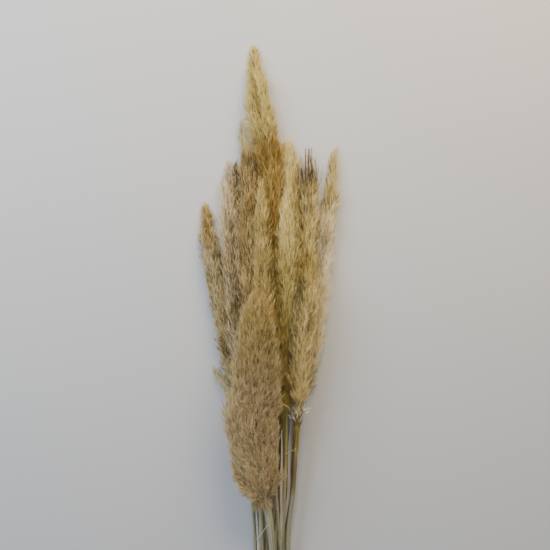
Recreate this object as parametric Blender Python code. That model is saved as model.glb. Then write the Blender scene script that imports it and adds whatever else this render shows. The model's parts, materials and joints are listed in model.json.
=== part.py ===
"""A bundle of dried pampas grass, lying on a surface.

Metres, +Z up. The stems lie along Y, with their cut ends towards -Y and the plume tips towards +Y.
The origin is at the bottom centre of the bundle.

Each grass is a stem, which runs on through its plume as the plume's core, a plume around that core,
and on some stems the dried sheath of a leaf. A dried leaf and a straw lie loose on top of the stems.
The grasses are laid down one after another, and each rests on the surface or on those laid before it.
"""

import math
from collections import namedtuple

import bmesh
import bpy

# Driving dimensions
CULM_RADIUS = 0.0038  # a stem at its cut end
NECK_SHARE = 0.72  # of that radius, where the plume starts
CORE_END_RADIUS = 0.0007  # the plume's core where it ends
CORE_END = 0.86  # of the plume's length
PLUME_START, PLUME_STOP = 0.012, 0.985  # of the way from the neck to the tip: its flat ends
CLEARANCE = 0.0003  # between pieces that touch
LEAF_THICKNESS = 0.0008

# Sampling
LAY_STEP = 0.010
CULM_RINGS = 13
CORE_RINGS = 10
PLUME_RINGS = 13
PLUME_SIDES = 12
STRIP_RINGS = 7
TUBE_RESOLUTION = 2  # a bevel resolution of 2 gives a tube eight sides

# A grass's route gives the points (across, along) over which its centreline runs, from the cut end to
# the tip. Its plume starts at the neck, and reaches and rises this far from the centreline at its
# fullest. The culm is its thickness against CULM_RADIUS.
Grass = namedtuple("Grass", "name culm route neck reach rise stem_colour plume_colour")

GREEN_STRAW = (0.40, 0.38, 0.20)
GREY_STRAW = (0.36, 0.35, 0.26)
PALE_STRAW = (0.56, 0.50, 0.36)

# In the order in which they are laid down
GRASSES = [
    Grass("tall", 1.00,
          [(-0.004, -0.519), (0.000, -0.337), (0.0085, -0.240), (0.0105, -0.137), (0.005, 0.088),
           (0.001, 0.207), (-0.005, 0.343), (-0.016, 0.411), (-0.030, 0.529)],
          0.088, 0.0165, 0.0160, GREY_STRAW, (0.46, 0.35, 0.16)),
    Grass("far_left", 1.00,
          [(-0.030, -0.512), (-0.0184, -0.337), (-0.060, -0.082), (-0.090, 0.071), (-0.101, 0.139),
           (-0.110, 0.250)],
          -0.082, 0.0115, 0.0125, GREEN_STRAW, (0.42, 0.24, 0.10)),
    Grass("left_pale", 1.00,
          [(-0.0122, -0.521), (-0.0098, -0.337), (-0.044, -0.082), (-0.062, 0.088), (-0.067, 0.190),
           (-0.066, 0.326)],
          -0.082, 0.0145, 0.0155, GREY_STRAW, (0.50, 0.42, 0.26)),
    Grass("back_golden", 0.95,
          [(0.009, -0.515), (0.0080, -0.337), (0.0170, -0.220), (0.0190, -0.140), (0.026, 0.037),
           (0.031, 0.173), (0.029, 0.292), (0.026, 0.357)],
          0.037, 0.0100, 0.0110, PALE_STRAW, (0.46, 0.33, 0.14)),
    Grass("dark_tip", 1.00,
          [(0.022, -0.520), (0.0178, -0.337), (0.0299, -0.240), (0.0328, -0.180), (0.042, -0.048),
           (0.056, 0.088), (0.061, 0.220), (0.061, 0.348)],
          -0.048, 0.0130, 0.0135, GREEN_STRAW, (0.24, 0.14, 0.06)),
    Grass("far_right", 1.00,
          [(0.036, -0.513), (0.0262, -0.337), (0.0380, -0.240), (0.0410, -0.180), (0.054, -0.090),
           (0.076, 0.020), (0.088, 0.105), (0.102, 0.230), (0.110, 0.350)],
          -0.090, 0.0120, 0.0130, PALE_STRAW, (0.48, 0.38, 0.22)),
    Grass("side_tuft", 0.85,
          [(-0.038, -0.504), (-0.0275, -0.337), (-0.049, -0.150), (-0.072, -0.075), (-0.099, -0.033)],
          -0.150, 0.0062, 0.0062, GREEN_STRAW, (0.30, 0.25, 0.12)),
    Grass("brown", 1.05,
          [(-0.022, -0.516), (-0.0165, -0.337), (-0.024, -0.065), (-0.031, 0.054), (-0.035, 0.173),
           (-0.036, 0.326), (-0.046, 0.406)],
          -0.065, 0.0155, 0.0155, GREEN_STRAW, (0.30, 0.20, 0.10)),
    Grass("broad_cream", 0.95,
          [(0.029, -0.510), (0.0200, -0.337), (0.0250, -0.187), (0.026, -0.048), (0.027, 0.030),
           (0.030, 0.150), (0.031, 0.230), (0.032, 0.310)],
          -0.080, 0.0170, 0.0150, GREY_STRAW, (0.54, 0.46, 0.22)),
    Grass("centre_pale", 0.95,
          [(0.020, -0.521), (0.0150, -0.337), (-0.002, -0.130), (-0.0055, -0.065), (-0.0105, 0.037),
           (-0.014, 0.156), (-0.016, 0.294)],
          -0.065, 0.0125, 0.0130, GREY_STRAW, (0.56, 0.47, 0.28)),
    Grass("front_golden", 1.10,
          [(0.042, -0.518), (0.0290, -0.337), (0.0405, -0.200), (0.0455, -0.102), (0.050, 0.003),
           (0.054, 0.088), (0.0625, 0.174)],
          -0.102, 0.0160, 0.0155, PALE_STRAW, (0.48, 0.36, 0.18)),
    Grass("front_large", 1.10,
          [(0.003, -0.522), (0.0025, -0.337), (-0.008, -0.257), (-0.027, -0.180), (-0.034, -0.110),
           (-0.0255, -0.020), (-0.0245, 0.098)],
          -0.257, 0.0370, 0.0290, PALE_STRAW, (0.40, 0.30, 0.17)),
]

# A sheath wraps a stem from one of the rings along it to another, of the CULM_RINGS between its cut end
# and its neck. Its mouth, at the last ring, gapes by the flare.
Sheath = namedtuple("Sheath", "first last wall flare colour")
SHEATHS = {
    "front_large": Sheath(1, 11, 0.0024, 0.0003, (0.50, 0.46, 0.32)),
    "front_golden": Sheath(10, 12, 0.0006, 0.0020, (0.62, 0.55, 0.40)),
    "brown": Sheath(1, 8, 0.0005, 0.0003, (0.42, 0.38, 0.20)),
    "far_right": Sheath(6, 11, 0.0005, 0.0010, (0.46, 0.40, 0.26)),
    "far_left": Sheath(6, 11, 0.0005, 0.0008, (0.40, 0.36, 0.22)),
}

# A loose strip lies on top, over its own points, and reaches this far to each side of them.
Strip = namedtuple("Strip", "name route reach colour")
STRIPS = [
    Strip("dried_leaf", [(-0.0205, -0.460), (-0.0222, -0.340), (-0.0262, -0.275)], 0.0018,
          (0.66, 0.60, 0.46)),
    Strip("loose_straw", [(-0.0255, -0.325), (-0.016, -0.311), (-0.0060, -0.295)], 0.0009,
          (0.66, 0.58, 0.38)),
]

# A piece that has been laid down: its route, its half sizes as a function of the place along it, and
# the height of its centreline at each of its places.
Laid = namedtuple("Laid", "route size places heights")


def spread(start, end, count):
    """Places spaced evenly from start to end, both included."""
    return [start + (end - start) * step / (count - 1) for step in range(count)]


def slope(route, index):
    """How fast a route moves across for each metre along, at one of its points."""
    before = route[max(index - 1, 0)]
    after = route[min(index + 1, len(route) - 1)]
    return (after[0] - before[0]) / (after[1] - before[1])


def across(route, along):
    """How far to the side a route runs at a place along it: a smooth cubic through its points."""
    index = 0
    while index < len(route) - 2 and along > route[index + 1][1]:
        index += 1
    start, end = route[index], route[index + 1]
    run = end[1] - start[1]
    t = (along - start[1]) / run
    blend = 3 * t ** 2 - 2 * t ** 3
    leaving = (t ** 3 - 2 * t ** 2 + t) * run * slope(route, index)
    arriving = (t ** 3 - t ** 2) * run * slope(route, index + 1)
    return (1 - blend) * start[0] + blend * end[0] + leaving + arriving


def fullness(share):
    """How full a plume is at a share of its length: narrow at the neck, fullest below its middle."""
    return math.sin(math.pi * share ** 0.7) ** 0.55


def plume_share(grass, along):
    neck, tip = grass.neck, grass.route[-1][1]
    return min(max((along - neck) / (tip - neck), PLUME_START), PLUME_STOP)


def core_end(grass):
    return grass.neck + (grass.route[-1][1] - grass.neck) * CORE_END


def stem_radius(grass, along):
    """A stem tapers evenly from its cut end to the neck, and then down to the end of the plume's core."""
    thick = CULM_RADIUS * grass.culm
    if along <= grass.neck:
        foot = grass.route[0][1]
        return thick * (1 - (1 - NECK_SHARE) * (along - foot) / (grass.neck - foot))
    share = min((along - grass.neck) / (core_end(grass) - grass.neck), 1)
    return thick * NECK_SHARE * (1 - share) + CORE_END_RADIUS * share


def core_places(grass):
    return spread(grass.neck, core_end(grass), CORE_RINGS)


def stem_places(grass):
    return spread(grass.route[0][1], grass.neck, CULM_RINGS)[:-1] + core_places(grass)


def sheath_places(grass, wrap):
    return stem_places(grass)[wrap.first:wrap.last + 1]


def sheath_inside(grass, wrap, along):
    start, *_, end = sheath_places(grass, wrap)
    share = (along - start) / (end - start)
    return stem_radius(grass, along) + 1.2 * CLEARANCE + wrap.flare * share ** 3


def grass_size(grass, along):
    """Half the width and half the height of a grass at a place: of its plume, its sheath or its bare stem."""
    if along > grass.neck - LAY_STEP / 2:
        full = fullness(plume_share(grass, along))
        return grass.reach * full, grass.rise * full
    radius = stem_radius(grass, along)
    wrap = SHEATHS.get(grass.name)
    if wrap:
        start, *_, end = sheath_places(grass, wrap)
        within = min(max(along, start), end)
        if abs(along - within) < LAY_STEP:
            radius = sheath_inside(grass, wrap, within) + wrap.wall
    return radius, radius


def strip_size(piece, along):
    return piece.reach, LEAF_THICKNESS / 2


def height_needed(route, size, along, laid):
    """The lowest centreline that clears the surface, and each piece laid before, at a place along."""
    wide, high = size(along)
    slant = math.hypot(1, (across(route, along + 0.001) - across(route, along - 0.001)) / 0.002)
    needed = high
    for other in laid:
        if not other.places[0] - LAY_STEP <= along <= other.places[-1] + LAY_STEP:
            continue
        within = min(max(along, other.places[0]), other.places[-1])
        other_wide, other_high = other.size(within)
        reach = wide * slant + other_wide * slant + CLEARANCE
        aside = across(route, along) - across(other.route, within)
        if abs(aside) < reach:
            lift = (high + other_high + CLEARANCE) * math.sqrt(1 - (aside / reach) ** 2)
            needed = max(needed, height(other, within) + lift)
    return needed


def bridged(places, needed):
    """A stiff stem touches only the highest supports, and runs straight between them."""
    hull = []
    for point in zip(places, needed):
        while len(hull) > 1:
            (x0, z0), (x1, z1) = hull[-2:]
            if (z1 - z0) * (point[0] - x0) > (point[1] - z0) * (x1 - x0):
                break
            hull.pop()
        hull.append(point)
    heights = []
    for place in places:
        index = max(i for i in range(len(hull) - 1) if hull[i][0] <= place + 1e-9)
        (x0, z0), (x1, z1) = hull[index:index + 2]
        heights.append(z0 + (z1 - z0) * (place - x0) / (x1 - x0))
    return heights


def sagged(heights, needed, passes=12):
    """Rounds the corners of a bridged stem, never below what it needs."""
    for _ in range(passes):
        eased = [heights[0]]
        for before, here, after in zip(heights, heights[1:], heights[2:]):
            eased.append((before + 2 * here + after) / 4)
        eased.append(heights[-1])
        heights = [max(pair) for pair in zip(eased, needed)]
    return heights


def lay(route, size, laid):
    """Lays a piece down on the surface and on those laid before it."""
    start, end = route[0][1], route[-1][1]
    places = spread(start, end, 1 + round((end - start) / LAY_STEP) * 2)
    needed = [height_needed(route, size, place, laid) for place in places]
    piece = Laid(route, size, places, sagged(bridged(places, needed), needed))
    laid.append(piece)
    return piece


def height(piece, along):
    step = (along - piece.places[0]) / (piece.places[1] - piece.places[0])
    index = min(max(int(step), 0), len(piece.places) - 2)
    before, after = piece.heights[index:index + 2]
    return before + (after - before) * (step - index)


def centre(piece, along):
    return (across(piece.route, along), along, height(piece, along))


def named_collection(name):
    collection = bpy.data.collections.new(name)
    bpy.context.scene.collection.children.link(collection)
    return collection


def material(name, colour, roughness):
    made = bpy.data.materials.new(name)
    made.use_nodes = True
    shader = made.node_tree.nodes["Principled BSDF"]
    shader.inputs["Base Color"].default_value = (*colour, 1.0)
    shader.inputs["Roughness"].default_value = roughness
    return made


def weld(mesh):
    """Joins a swept body's caps to its sides."""
    work = bmesh.new()
    work.from_mesh(mesh)
    bmesh.ops.remove_doubles(work, verts=work.verts, dist=0.00001)
    bmesh.ops.recalc_face_normals(work, faces=work.faces)
    work.to_mesh(mesh)
    work.free()


def swept(name, points, radii, section=None):
    """A closed body along a line of points, round or of the given section, as a mesh object."""
    curve = bpy.data.curves.new(name, "CURVE")
    curve.dimensions = "3D"
    curve.twist_mode = "Z_UP"
    curve.use_fill_caps = True
    if section is None:
        curve.bevel_depth = 1.0
        curve.bevel_resolution = TUBE_RESOLUTION
    else:
        curve.bevel_mode = "OBJECT"
        curve.bevel_object = section
    spline = curve.splines.new("POLY")
    spline.points.add(len(points) - 1)
    for point, position, radius in zip(spline.points, points, radii):
        point.co = (*position, 1.0)
        point.radius = radius
    holder = bpy.data.objects.new(name + "_curve", curve)
    bpy.context.scene.collection.objects.link(holder)
    bpy.context.view_layer.update()
    evaluated = holder.evaluated_get(bpy.context.evaluated_depsgraph_get())
    mesh = bpy.data.meshes.new_from_object(evaluated)
    bpy.data.objects.remove(holder)
    weld(mesh)
    return bpy.data.objects.new(name, mesh)


def oval(name, flatness, sides):
    """A section one wide and flatness high, for a swept body."""
    curve = bpy.data.curves.new(name, "CURVE")
    curve.dimensions = "2D"
    spline = curve.splines.new("POLY")
    spline.points.add(sides - 1)
    spline.use_cyclic_u = True
    for step, point in enumerate(spline.points):
        angle = 2 * math.pi * step / sides
        point.co = (math.cos(angle), flatness * math.sin(angle), 0.0, 1.0)
    section = bpy.data.objects.new(name, curve)
    bpy.context.scene.collection.objects.link(section)
    return section


def keep(body, colour, roughness, collection):
    """Gives a body its finish and its smooth sides, and files it with the bundle."""
    body.data.materials.append(material(body.name + "_finish", colour, roughness))
    body.data.shade_smooth()
    body.data.set_sharp_from_angle(angle=math.radians(50))
    collection.objects.link(body)


def cut_out(body, cutter, collection):
    """Takes the cutter's form out of a body, and files the cutter out of sight."""
    cutter.hide_render = True
    cutter.display_type = "WIRE"
    collection.objects.link(cutter)
    cut = body.modifiers.new(cutter.name, "BOOLEAN")
    cut.object = cutter


def add_stem(grass, piece, bundle):
    points = [centre(piece, place) for place in stem_places(grass)]
    radii = [stem_radius(grass, place) for place in stem_places(grass)]
    keep(swept("stem_" + grass.name, points, radii), grass.stem_colour, 0.6, bundle)


def add_plume(grass, piece, bundle, cutters):
    """A plume's outer form, with the bore that its stem's core fills."""
    length = grass.route[-1][1] - grass.neck
    shares = spread(PLUME_START, PLUME_STOP, PLUME_RINGS)
    points = [centre(piece, grass.neck + length * share) for share in shares]
    section = oval("plume_section", grass.rise / grass.reach, PLUME_SIDES)
    body = swept("plume_" + grass.name, points, [grass.reach * fullness(share) for share in shares], section)
    bpy.data.objects.remove(section)

    places = [grass.neck - 0.004] + core_places(grass) + [core_end(grass) + 0.002]
    points = [centre(piece, place) for place in places]
    radii = [stem_radius(grass, place) + 1.2 * CLEARANCE for place in places]
    cut_out(body, swept("bore_" + grass.name, points, radii), cutters)
    keep(body, grass.plume_colour, 0.9, bundle)


def add_sheath(grass, wrap, piece, bundle, cutters):
    """A thin tube around a stem, a little wider at its mouth."""
    places = sheath_places(grass, wrap)
    points = [centre(piece, place) for place in places]
    inside = [sheath_inside(grass, wrap, place) for place in places]
    body = swept("sheath_" + grass.name, points, [radius + wrap.wall for radius in inside])

    places = [places[0] - 0.002] + places + [places[-1] + 0.002]
    points = [centre(piece, place) for place in places]
    inside = inside[:1] + inside + inside[-1:]
    cut_out(body, swept("lumen_" + grass.name, points, inside), cutters)
    keep(body, wrap.colour, 0.7, bundle)


def add_strip(strip, piece, bundle):
    places = spread(strip.route[0][1], strip.route[-1][1], STRIP_RINGS)
    points = [centre(piece, place) for place in places]
    taper = [0.35 + 0.65 * math.sin(math.pi * share) for share in spread(0, 1, STRIP_RINGS)]
    section = oval("strip_section", LEAF_THICKNESS / 2 / strip.reach, 6)
    body = swept(strip.name, points, [strip.reach * share for share in taper], section)
    bpy.data.objects.remove(section)
    keep(body, strip.colour, 0.7, bundle)


for leftover in list(bpy.data.objects):
    bpy.data.objects.remove(leftover)

bundle = named_collection("pampas_grass_bundle")
cutters = named_collection("cutters")
laid = []
for grass in GRASSES:
    piece = lay(grass.route, lambda along, grass=grass: grass_size(grass, along), laid)
    add_stem(grass, piece, bundle)
    add_plume(grass, piece, bundle, cutters)
    if grass.name in SHEATHS:
        add_sheath(grass, SHEATHS[grass.name], piece, bundle, cutters)
for strip in STRIPS:
    piece = lay(strip.route, lambda along, strip=strip: strip_size(strip, along), laid)
    add_strip(strip, piece, bundle)
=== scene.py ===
# %% [markdown]
# # A bundle of dried pampas grass
# Twelve grasses were cut in late summer, hung up to dry and gathered into one bunch. Each is a reed-like stem
# that ends in a long flower head: a plume of side branches, which carry thousands of papery flowers and
# silky hairs. Nothing holds the bunch together. It lies on a pale floor, and we look straight down on it.
#
# The solid model of the bunch is loaded first. It says where each grass lies, and every piece made below
# takes its place from it.

import json
from collections import namedtuple
from types import SimpleNamespace

import bpy
import numpy as np
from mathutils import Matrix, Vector

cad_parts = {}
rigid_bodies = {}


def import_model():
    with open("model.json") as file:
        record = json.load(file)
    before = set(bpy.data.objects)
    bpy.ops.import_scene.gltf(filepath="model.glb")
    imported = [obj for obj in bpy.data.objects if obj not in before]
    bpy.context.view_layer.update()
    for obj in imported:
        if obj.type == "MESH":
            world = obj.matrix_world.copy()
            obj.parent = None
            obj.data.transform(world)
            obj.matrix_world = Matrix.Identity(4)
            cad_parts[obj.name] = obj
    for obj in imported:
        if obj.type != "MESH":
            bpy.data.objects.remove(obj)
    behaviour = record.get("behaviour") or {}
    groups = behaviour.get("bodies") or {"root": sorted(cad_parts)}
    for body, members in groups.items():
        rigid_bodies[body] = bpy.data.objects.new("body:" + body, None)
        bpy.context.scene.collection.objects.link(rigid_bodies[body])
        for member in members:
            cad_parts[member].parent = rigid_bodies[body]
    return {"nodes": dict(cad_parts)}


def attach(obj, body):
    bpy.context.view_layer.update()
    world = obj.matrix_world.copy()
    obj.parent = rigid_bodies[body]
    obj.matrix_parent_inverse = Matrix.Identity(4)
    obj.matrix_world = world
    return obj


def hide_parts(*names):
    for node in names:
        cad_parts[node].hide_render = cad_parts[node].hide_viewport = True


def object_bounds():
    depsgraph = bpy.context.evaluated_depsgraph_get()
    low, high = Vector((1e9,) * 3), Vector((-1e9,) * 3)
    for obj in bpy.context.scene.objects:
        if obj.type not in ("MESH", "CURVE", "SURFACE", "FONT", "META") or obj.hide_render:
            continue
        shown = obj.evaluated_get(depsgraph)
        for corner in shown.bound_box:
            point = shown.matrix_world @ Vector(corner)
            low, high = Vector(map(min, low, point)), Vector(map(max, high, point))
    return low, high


for leftover in list(bpy.data.objects):
    bpy.data.objects.remove(leftover)
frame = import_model()
CAD_BOX = [list(corner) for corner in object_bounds()]
MM = 0.001
print("the bunch is", [round((high - low) / MM) for low, high in zip(*CAD_BOX)], "mm across, along and high")

# %% [markdown]
# ## The picture
# The bunch takes up the middle of a square picture that is otherwise nearly empty. Its cut ends run out at
# the bottom edge. A long lens from over two metres away keeps the plumes in proportion. The picture's place
# is worked out from the bunch: there is a little floor above the tallest tip, and the picture's width is a
# fixed size on the floor.

# %% Camera
PICTURE_WIDTH = 0.935  # m of floor that the picture spans, at the height of the plumes
SPACE_ABOVE = 0.076  # m from the tallest tip to the picture's top edge
BESIDE = 0.0065  # m that the picture's middle lies to the right of the bunch's middle
PLUME_HEIGHT = 0.05
LENS, SENSOR = 85, 36  # mm

(low_x, _, _), (high_x, tip_y, _) = CAD_BOX
camera_data = bpy.data.cameras.new("camera")
camera_data.lens, camera_data.sensor_width = LENS, SENSOR
camera = bpy.data.objects.new("camera", camera_data)
camera.location = (
    (low_x + high_x) / 2 + BESIDE,
    tip_y + SPACE_ABOVE - PICTURE_WIDTH / 2,
    PLUME_HEIGHT + PICTURE_WIDTH * LENS / SENSOR,
)
bpy.context.collection.objects.link(camera)
bpy.context.scene.camera = camera
print("the camera looks down from", round(camera.location.z, 2), "m")

# %% [markdown]
# ## Colours and nodes
# Colours are picked as sRGB hex values, the way that paint charts and websites give them. Blender's shaders
# add and multiply light, so they need the linear amounts behind those values.
# One helper adds a node to a material with its options, values and links, so that a material reads as a list.

# %% Helpers for materials
FLAT_MAP = "OFBake"  # the name of every mesh's flat map


def linear(colour):
    """An sRGB hex colour as the linear red, green, blue and alpha that a shader takes."""
    parts = [int(colour[i:i + 2], 16) / 255 for i in (1, 3, 5)]
    return [p / 12.92 if p <= 0.04045 else ((p + 0.055) / 1.055) ** 2.4 for p in parts] + [1.0]


def between(first, second, part):
    """The hex colour part of the way from one to another."""
    pairs = [(int(first[i:i + 2], 16), int(second[i:i + 2], 16)) for i in (1, 3, 5)]
    return "#" + "".join(f"{round(a + (b - a) * part):02X}" for a, b in pairs)


def add(tree, kind, values=None, links=None, **options):
    """Adds a node: its options, the values of its inputs and what is linked to them."""
    node = tree.nodes.new("ShaderNode" + kind)
    for name, option in options.items():
        setattr(node, name, option)
    for name, value in (values or {}).items():
        node.inputs[name].default_value = value
    for name, source in (links or {}).items():
        tree.links.new(source, node.inputs[name])
    return node


def ramp_of(tree, factor, stops):
    """Colours along a factor, from (place, hex colour) pairs."""
    ramp = add(tree, "ValToRGB", links={"Fac": factor})
    colours = ramp.color_ramp.elements
    while len(colours) < len(stops):
        colours.new(0.5)
    for element, (place, colour) in zip(colours, stops):
        element.position, element.color = place, linear(colour)
    return ramp.outputs["Color"]


def blank_material(name):
    """A new material with an empty node tree, and its output node."""
    material = bpy.data.materials.new(name)
    material.use_nodes = True
    material.node_tree.nodes.clear()
    return material, material.node_tree, add(material.node_tree, "OutputMaterial")


def chart_of(tree):
    """The two axes of the flat map, as outputs X and Y."""
    return add(tree, "SeparateXYZ", links={0: add(tree, "UVMap", uv_map=FLAT_MAP).outputs[0]}).outputs


def noise(tree, place, scale, shift=(0, 0, 0), detail=2.0, rough=0.5):
    """Noise with its own scale along each axis of a place."""
    spot = add(tree, "Mapping", {"Scale": scale, "Location": shift}, {"Vector": place}).outputs[0]
    looks = {"Scale": 1.0, "Detail": detail, "Roughness": rough}
    return add(tree, "TexNoise", looks, {"Vector": spot}).outputs["Fac"]


def fade_in(tree, value, low, high, top=1.0, kind="LINEAR"):
    """An amount that goes from 0 up to its top as a value goes from low to high."""
    return add(tree, "MapRange", {"From Min": low, "From Max": high, "To Max": top}, {"Value": value},
               interpolation_type=kind).outputs[0]


def blend(tree, amount, first, second):
    """The first colour turned into the second by an amount. Each of the three is a socket or a constant."""
    given = {0: amount, 6: first, 7: second}
    values = {place: value for place, value in given.items() if isinstance(value, (float, list))}
    links = {place: source for place, source in given.items() if place not in values}
    return add(tree, "Mix", values, links, data_type="RGBA").outputs[2]


def coat(tree, colour, rough, sheen, bump=None):
    """A surface's shader. Its colour is a socket or a constant, and a bump its strength, depth and height."""
    values, links = {"Roughness": rough, "Specular IOR Level": sheen}, {}
    (values if isinstance(colour, list) else links)["Base Color"] = colour
    if bump:
        strength, depth, height = bump
        links["Normal"] = add(tree, "Bump", {"Strength": strength, "Distance": depth},
                              {"Height": height}).outputs["Normal"]
    return add(tree, "BsdfPrincipled", values, links).outputs[0]


def let_light_through(tree, output, surface, colour, glow):
    """Puts out a surface mixed with light that comes through it from behind, in the surface's own colour."""
    through = add(tree, "BsdfTranslucent", links={"Color": colour}).outputs[0]
    both = add(tree, "MixShader", {0: glow}, {1: surface, 2: through}).outputs[0]
    tree.links.new(both, output.inputs["Surface"])


# %% [markdown]
# ## Floor and light
# The floor is a matt painted board. It is far larger than the picture, so that no edge of it shows from any
# side. Cool daylight comes from a big soft window beyond the plumes on the left. A white wall beyond their
# tips on the right throws warm light back. The room all round is dim and a little blue.

# %% Floor and light
FLOOR_SIZE = 30.0  # m
floor_mesh = bpy.data.meshes.new("floor")
half = FLOOR_SIZE / 2
floor_mesh.from_pydata(
    [(-half, -half, 0), (half, -half, 0), (half, half, 0), (-half, half, 0)], [], [(0, 1, 2, 3)])
floor = bpy.data.objects.new("floor", floor_mesh)
bpy.context.collection.objects.link(floor)

paint, tree, output = blank_material("matt wall paint")
stipple = add(tree, "TexNoise", {"Scale": 400.0, "Detail": 3.0},
              {"Vector": add(tree, "TexCoord").outputs["Object"]})  # left by a paint roller, about 2.5 mm
board = coat(tree, linear("#C1C0BD"), 0.75, 0.3, (0.04, 0.0004, stipple.outputs["Fac"]))
tree.links.new(board, output.inputs["Surface"])
floor_mesh.materials.append(paint)


def soft_light(name, place, aim, size, power, colour):
    """A square area light that faces a point."""
    light = bpy.data.lights.new(name, "AREA")
    light.size, light.energy, light.color = size, power, linear(colour)[:3]
    lamp = bpy.data.objects.new(name, light)
    lamp.location = place
    lamp.rotation_euler = (Vector(aim) - Vector(place)).to_track_quat("-Z", "Y").to_euler()
    bpy.context.collection.objects.link(lamp)


soft_light("window", (-1.05, 0.95, 1.05), (0, 0.3, 0), 1.2, 35.5, "#DDEAFF")
soft_light("white_wall", (0.45, 1.4, 0.9), (0.1, 0.45, 0), 1.1, 39.0, "#FFE8BC")

world = bpy.data.worlds.new("dim room")
world.use_nodes = True
world.node_tree.nodes["Background"].inputs["Color"].default_value = linear("#DAE5FA")
world.node_tree.nodes["Background"].inputs["Strength"].default_value = 0.51
bpy.context.scene.world = world

# %% [markdown]
# ## Where each grass runs
# The solid model has a plain tube for each stem and a plain spindle for each plume. Their meshes are rings of
# points set out along Y, so the middle of each ring lies on the grass's centreline. A smooth curve through
# those middles is the line that everything on this grass is built along.

# %% Measure the grasses
NAMES = ["tall", "far_left", "left_pale", "back_golden", "dark_tip", "far_right", "side_tuft", "brown",
         "broad_cream", "centre_pale", "front_golden", "front_large"]
RING_GAP = 2 * MM  # rings lie further apart than this along Y
CURVE_STEPS = 400


def rings_of(node):
    """The rings of points in a node's mesh, from the cut end to the tip."""
    points = np.array([v.co for v in frame["nodes"][node].data.vertices])
    points = np.unique(points.round(6), axis=0)
    points = points[np.argsort(points[:, 1])]
    return np.split(points, np.flatnonzero(np.diff(points[:, 1]) > RING_GAP) + 1)


def unit(vectors):
    return vectors / np.maximum(np.linalg.norm(vectors, axis=-1, keepdims=True), 1e-12)


def curve_through(points, count=CURVE_STEPS):
    """A smooth curve through the points, as evenly spaced places with three directions at each."""
    reach = np.r_[0, np.cumsum(np.linalg.norm(np.diff(points, axis=0), axis=1))]
    slope = np.gradient(points, reach, axis=0)
    where = np.linspace(0, reach[-1], count)
    span = np.clip(np.searchsorted(reach, where) - 1, 0, len(reach) - 2)
    step = (reach[span + 1] - reach[span])[:, None]
    t = (where - reach[span])[:, None] / step
    middle = ((2 * t ** 3 - 3 * t ** 2 + 1) * points[span] + (3 * t ** 2 - 2 * t ** 3) * points[span + 1]
              + (t ** 3 - 2 * t ** 2 + t) * slope[span] * step + (t ** 3 - t ** 2) * slope[span + 1] * step)
    along = unit(np.gradient(middle, axis=0))
    across = unit(np.cross(along, (0, 0, 1)))
    return SimpleNamespace(where=where, middle=middle, along=along, across=across,
                           up=np.cross(across, along), length=reach[-1])


def at(curve, where):
    """The curve's middle and its along, across and up directions at some distances from its start."""
    found = [np.stack([np.interp(where, curve.where, axis) for axis in field.T], -1)
             for field in (curve.middle, curve.along, curve.across, curve.up)]
    # Past its last place the curve runs straight on.
    found[0] = found[0] + found[1] * np.maximum(np.asarray(where) - curve.length, 0)[..., None]
    return found


def along_curve(curve, y):
    """How far along a curve some places are, from their places along the bunch."""
    return np.interp(y, curve.middle[:, 1], curve.where)


def ray_at(turn, across, up):
    """Directions at a turn round a line."""
    return across * np.cos(turn)[..., None] + up * np.sin(turn)[..., None]


def measure(name):
    """One grass's curve, its stem's thickness and its plume's outline, from the solid model."""
    stem, plume = rings_of("stem_" + name), rings_of("plume_" + name)
    core_end = stem[-1][:, 1].mean()
    middles = [ring.mean(0) for ring in stem] + [
        ring.mean(0) for ring in plume if ring[:, 1].mean() > core_end + 8 * MM]
    curve = curve_through(np.array(middles))
    stem_at = along_curve(curve, [ring[:, 1].mean() for ring in stem])
    radius = [np.linalg.norm(ring - ring.mean(0), axis=1).max() for ring in stem]
    points = np.concatenate(plume)
    start, end = along_curve(curve, [points[:, 1].min(), points[:, 1].max()])
    along = along_curve(curve, points[:, 1])
    middle, _, across, up = at(curve, along)
    side = np.abs(((points - middle) * across).sum(1))
    rise = np.abs(((points - middle) * up).sum(1))
    share = (along - start) / (end - start)
    marks = np.linspace(0, 1, 13)
    near = [np.abs(share - mark) < 0.06 for mark in marks]
    return SimpleNamespace(
        name=name, curve=curve, stem_at=stem_at, radius=np.array(radius), start=start, end=end, marks=marks,
        side=np.array([side[n].max() for n in near]), rise=np.array([rise[n].max() for n in near]))


grasses = {name: measure(name) for name in NAMES}

# %% [markdown]
# ## Making meshes
# All pieces are made of triangles from arrays of numbers, which is the fast way to make thousands of hairs.
# Each mesh gets a flat map. On stems and leaves it is the surface rolled out, along and around. On plumes it
# is a colour chart: how far along the plume a hair grows, and how light its tone is.

# %% Helpers for meshes
def make_piece(name, points, faces, corners, materials, worn=None, smooth=True):
    """An object from points, triangles, each triangle corner's place on the flat map, and materials."""
    mesh = bpy.data.meshes.new(name)
    mesh.vertices.add(len(points))
    mesh.vertices.foreach_set("co", np.asarray(points, np.float32).ravel())
    mesh.loops.add(faces.size)
    mesh.loops.foreach_set("vertex_index", np.asarray(faces, np.int32).ravel())
    mesh.polygons.add(len(faces))
    mesh.polygons.foreach_set("loop_start", np.arange(0, faces.size, 3, dtype=np.int32))
    mesh.polygons.foreach_set("use_smooth", np.full(len(faces), smooth))
    for material in materials:
        mesh.materials.append(material)
    if worn is not None:
        mesh.polygons.foreach_set("material_index", np.asarray(worn, np.int32))
    flat = mesh.uv_layers.new(name=FLAT_MAP)
    flat.uv.foreach_set("vector", np.asarray(corners, np.float32).ravel())
    mesh.update(calc_edges=True)
    mesh.validate()
    piece = bpy.data.objects.new(name, mesh)
    bpy.context.collection.objects.link(piece)
    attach(piece, "root")
    return piece


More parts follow.
